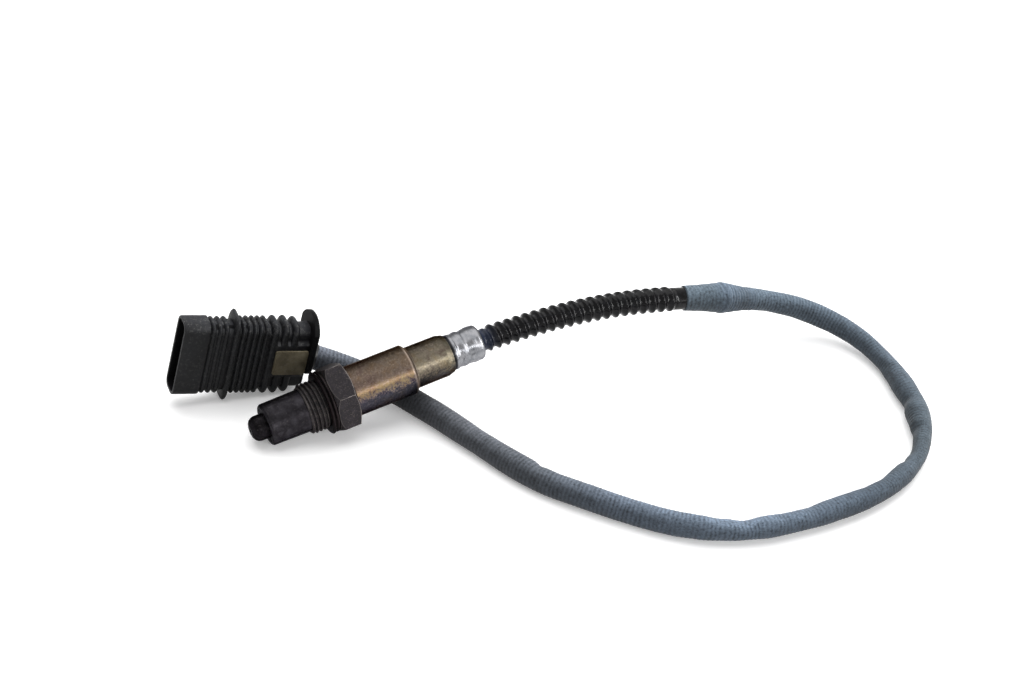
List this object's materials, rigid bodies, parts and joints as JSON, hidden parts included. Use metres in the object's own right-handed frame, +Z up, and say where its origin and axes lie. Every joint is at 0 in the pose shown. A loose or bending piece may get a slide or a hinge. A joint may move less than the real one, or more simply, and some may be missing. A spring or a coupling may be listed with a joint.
{
  "type": "oxygen sensor",
  "caption": "Exhaust oxygen sensor: screw-in probe with hex shell, steel sleeve, corrugated boot, sleeved cord and flat ribbed connector.",
  "frame": {"origin": "centre of the gasket seat on the thread's axis, at the hex's front face", "axes": "+X runs from the probe's nose towards the boot, level; the thread's axis leans 12.1 degrees up from it; +Z is up from the surface the sensor lies on"},
  "size_m": [0.2645, 0.1456, 0.0351],
  "materials": {
    "outer_tube": "drawn steel, darkened by heat",
    "inner_tube": "drawn steel, darkened by heat",
    "sensing_element": "fired zirconia",
    "sensor_shell": "turned steel, dark",
    "lower_bush": "fired, matte",
    "powder_seal": "pressed talc",
    "upper_bush": "fired, matte",
    "lock_ring": "pressed",
    "gasket": "folded steel, dark",
    "protective_sleeve": "drawn steel, bronze from heat",
    "contact_holder": "fired, matte",
    "spring_cage": "spring strip",
    "contacts": "nickel strip",
    "rear_spacer": "fired, matte",
    "grommet": "moulded",
    "crimp_sleeve": "bright drawn steel",
    "corrugated_boot": "moulded, satin black",
    "lead_wires": "insulated wire",
    "cord_cuff": "slate grey",
    "cord_tube": "woven slate grey sleeve",
    "cord_stub": "moulded",
    "rear_flange": "moulded charcoal",
    "connector_housing": "moulded charcoal",
    "terminal_block": "moulded",
    "terminals": "tinned",
    "lock_frame": "moulded grey",
    "wire_seal": "moulded silicone",
    "blank_plate": "khaki, bare",
    "connector_leads": "insulated wire"
  },
  "bodies": {
    "root": {"outer_tube": "outer_tube", "inner_tube": "inner_tube", "sensing_element": "sensing_element", "sensor_shell": "sensor_shell", "lower_bush": "lower_bush", "powder_seal": "powder_seal", "upper_bush": "upper_bush", "lock_ring": "lock_ring", "gasket": "gasket", "protective_sleeve": "protective_sleeve", "contact_holder": "contact_holder", "spring_cage": "spring_cage", "contacts": "contacts", "rear_spacer": "rear_spacer", "grommet": "grommet", "crimp_sleeve": "crimp_sleeve", "corrugated_boot": "corrugated_boot", "lead_wires": "lead_wires", "cord_cuff": "cord_cuff", "cord_tube": "cord_tube", "cord_stub": "cord_stub", "rear_flange": "rear_flange", "connector_housing": "connector_housing", "terminal_block": "terminal_block", "terminals": "terminals", "lock_frame": "lock_frame", "wire_seal": "wire_seal", "blank_plate": "blank_plate", "connector_leads": "connector_leads"}
  },
  "joints": []
}
